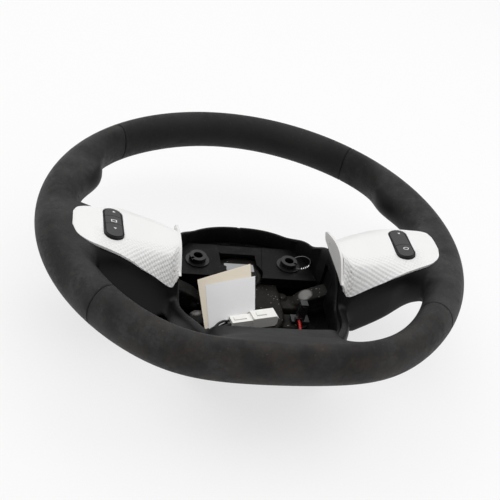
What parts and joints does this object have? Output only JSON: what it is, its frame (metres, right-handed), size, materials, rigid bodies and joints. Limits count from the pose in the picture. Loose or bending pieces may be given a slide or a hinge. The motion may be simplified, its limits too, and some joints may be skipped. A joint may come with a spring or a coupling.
{
  "type": "car steering wheel",
  "caption": "Car steering wheel with a leather rim, thumb rests, pale spoke covers with press keys and an open hub where the airbag module sits.",
  "frame": {"origin": "centre of the plain column bore on the rear face of the hub", "axes": "+Z along the steering axis toward the driver, +Y toward 12 o'clock of the rim, +X to the driver's right"},
  "size_m": [0.37, 0.3591, 0.0967],
  "materials": {
    "cast_metal": "as cast",
    "steel": "machined",
    "moulded_foam": "fine moulded grain",
    "leather": "worn satin grain",
    "pale_cover": "fine texture",
    "black_plastic": "satin moulded",
    "screw_steel": "plated",
    "bush_plastic": "smooth",
    "spring_wire": "bright",
    "white_nylon": "smooth",
    "black_lead": "satin",
    "red_lead": "satin",
    "rubber": "matt",
    "plug_plastic": "smooth",
    "key_plastic": "fine texture",
    "board": "coated"
  },
  "bodies": {
    "wheel": {"armature": "cast_metal", "column_insert": "steel", "grip_foam": "moulded_foam", "leather_top": "leather", "leather_left": "leather", "leather_right": "leather", "leather_bottom": "leather", "trim_left": "pale_cover", "trim_right": "pale_cover", "switch_housing_left": "black_plastic", "switch_housing_right": "black_plastic", "switch_board_left": "board", "switch_board_right": "board", "rear_shroud": "black_plastic", "shroud_screws": "screw_steel", "airbag_bracket": "black_plastic", "bush_left": "bush_plastic", "bush_right": "bush_plastic", "retaining_wire": "spring_wire", "connector_plug": "white_nylon", "connector_socket": "white_nylon", "black_lead_front": "black_lead", "black_lead_rear": "black_lead", "lead_grommet": "rubber", "harness_plug": "plug_plastic", "red_lead": "red_lead", "red_grommet": "rubber"},
    "key_left_up": {"key_left_up": "key_plastic"},
    "key_left_middle": {"key_left_middle": "key_plastic"},
    "key_left_down": {"key_left_down": "key_plastic"},
    "key_right_up": {"key_right_up": "key_plastic"},
    "key_right_down": {"key_right_down": "key_plastic"}
  },
  "joints": [
    {"name": "key_left_up_press", "type": "slide", "parent": "wheel", "child": "key_left_up", "axis": [0.1765, 0.0837, 0.9807], "range_m": [-0.0008, 0], "stiffness_N_per_m": 900},
    {"name": "key_left_middle_press", "type": "slide", "parent": "wheel", "child": "key_left_middle", "axis": [0.1765, 0.0837, 0.9807], "range_m": [-0.0008, 0], "stiffness_N_per_m": 900},
    {"name": "key_left_down_press", "type": "slide", "parent": "wheel", "child": "key_left_down", "axis": [0.1765, 0.0837, 0.9807], "range_m": [-0.0008, 0], "stiffness_N_per_m": 900},
    {"name": "key_right_up_press", "type": "slide", "parent": "wheel", "child": "key_right_up", "axis": [-0.1765, 0.0837, 0.9807], "range_m": [-0.0008, 0], "stiffness_N_per_m": 900},
    {"name": "key_right_down_press", "type": "slide", "parent": "wheel", "child": "key_right_down", "axis": [-0.1765, 0.0837, 0.9807], "range_m": [-0.0008, 0], "stiffness_N_per_m": 900}
  ]
}
